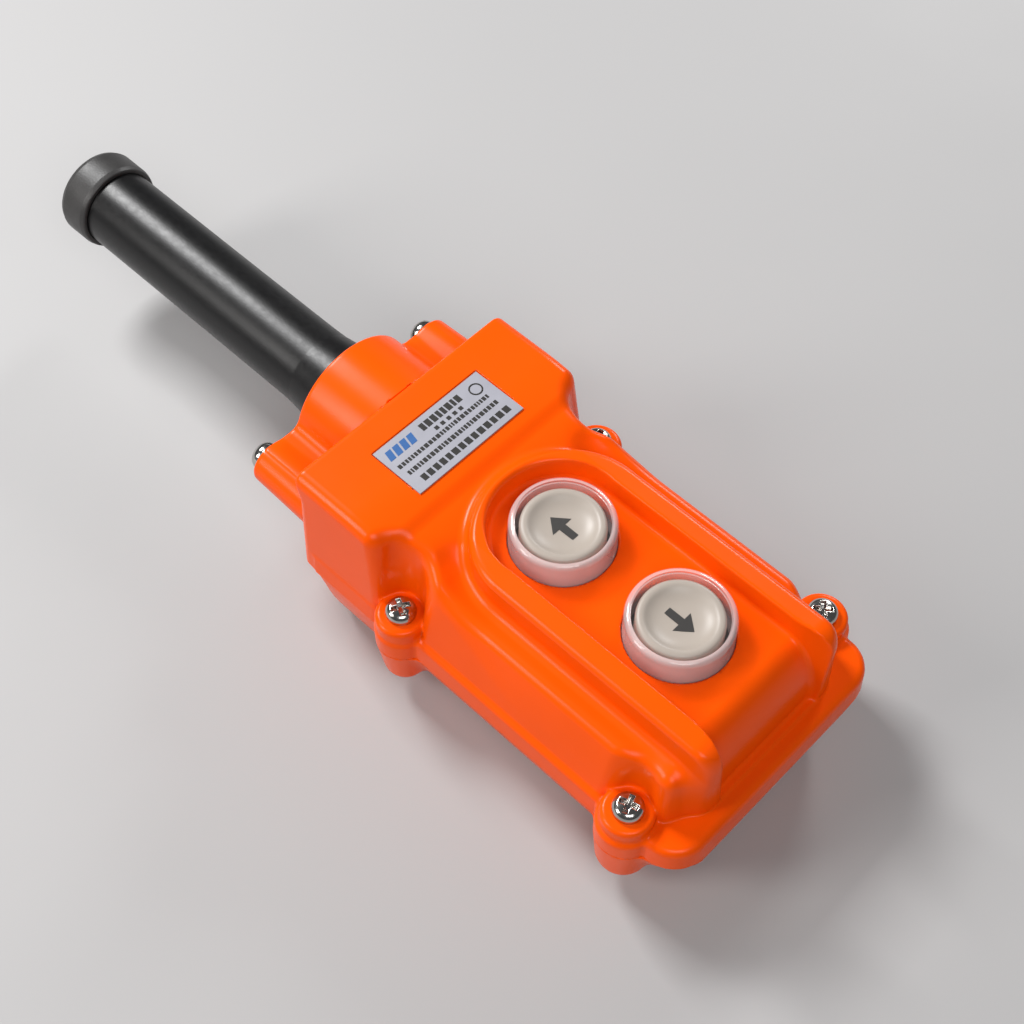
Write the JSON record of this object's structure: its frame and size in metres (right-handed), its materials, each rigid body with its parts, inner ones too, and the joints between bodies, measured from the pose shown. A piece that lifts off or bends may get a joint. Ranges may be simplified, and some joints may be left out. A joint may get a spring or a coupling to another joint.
{
  "type": "pendant push button station",
  "caption": "Handheld hoist pendant with a glossy guarded housing, clear booted push buttons for raise and lower, and a long rubber cable sleeve at one end.",
  "frame": {"origin": "middle of the casing's flat back", "axes": "+X is the width, +Y runs toward the cable sleeve, +Z comes out of the button face"},
  "size_m": [0.091, 0.2696, 0.058],
  "materials": {
    "orange_shell": "glossy moulded orange ABS",
    "seal_rubber": "soft black seal cord",
    "sleeve_rubber": "satin black rubber",
    "ring_rubber": "matt dark grey rubber",
    "bright_steel": "nickel plated steel",
    "plated_steel": "zinc plated steel",
    "brass": "turned brass",
    "copper": "bright copper strip",
    "plate_film": "silver foil plate",
    "plate_ink": "printed ink, plain bars and blocks",
    "clear_boot": "clear soft silicone",
    "ivory": "ivory moulded plastic",
    "mark_ink": "black inlaid arrow",
    "black_moulding": "black moulded plastic",
    "phenolic": "dark brown moulded phenolic"
  },
  "bodies": {
    "housing": {"front_cover": "orange_shell", "rear_casing": "orange_shell", "cover_gasket": "seal_rubber", "cover_screws": "bright_steel", "cover_inserts": "brass", "gland_collar": "orange_shell", "collar_washers": "bright_steel", "collar_screws": "bright_steel", "collar_inserts": "brass", "gland_washer": "plated_steel", "cable_sleeve": "sleeve_rubber", "sleeve_end_ring": "ring_rubber", "name_plate": "plate_film", "name_plate_print": "plate_ink", "boot_clamp_plate": "black_moulding", "boot_clamp_screws": "plated_steel", "button_boot_up": "clear_boot", "button_boot_down": "clear_boot", "switch_base": "black_moulding", "switch_housing": "phenolic", "fixed_contacts": "brass", "terminal_screws": "plated_steel", "switch_mount_screws": "plated_steel", "cable_strap": "plated_steel", "cable_strap_screws": "plated_steel", "return_spring_up": "bright_steel", "return_spring_down": "bright_steel"},
    "up_button": {"push_button_up": "ivory", "button_mark_up": "mark_ink", "plunger_up": "phenolic", "contact_bridges_up": "copper"},
    "down_button": {"push_button_down": "ivory", "button_mark_down": "mark_ink", "plunger_down": "phenolic", "contact_bridges_down": "copper"}
  },
  "joints": [
    {"name": "up_button_press", "type": "slide", "parent": "housing", "child": "up_button", "axis": [0, 0, -1], "range_m": [0, 0.004], "stiffness_N_per_m": 1500, "springref_m": -0.002, "deforming": ["button_boot_up", "return_spring_up"]},
    {"name": "down_button_press", "type": "slide", "parent": "housing", "child": "down_button", "axis": [0, 0, -1], "range_m": [0, 0.004], "stiffness_N_per_m": 1500, "springref_m": -0.002, "deforming": ["button_boot_down", "return_spring_down"]}
  ]
}
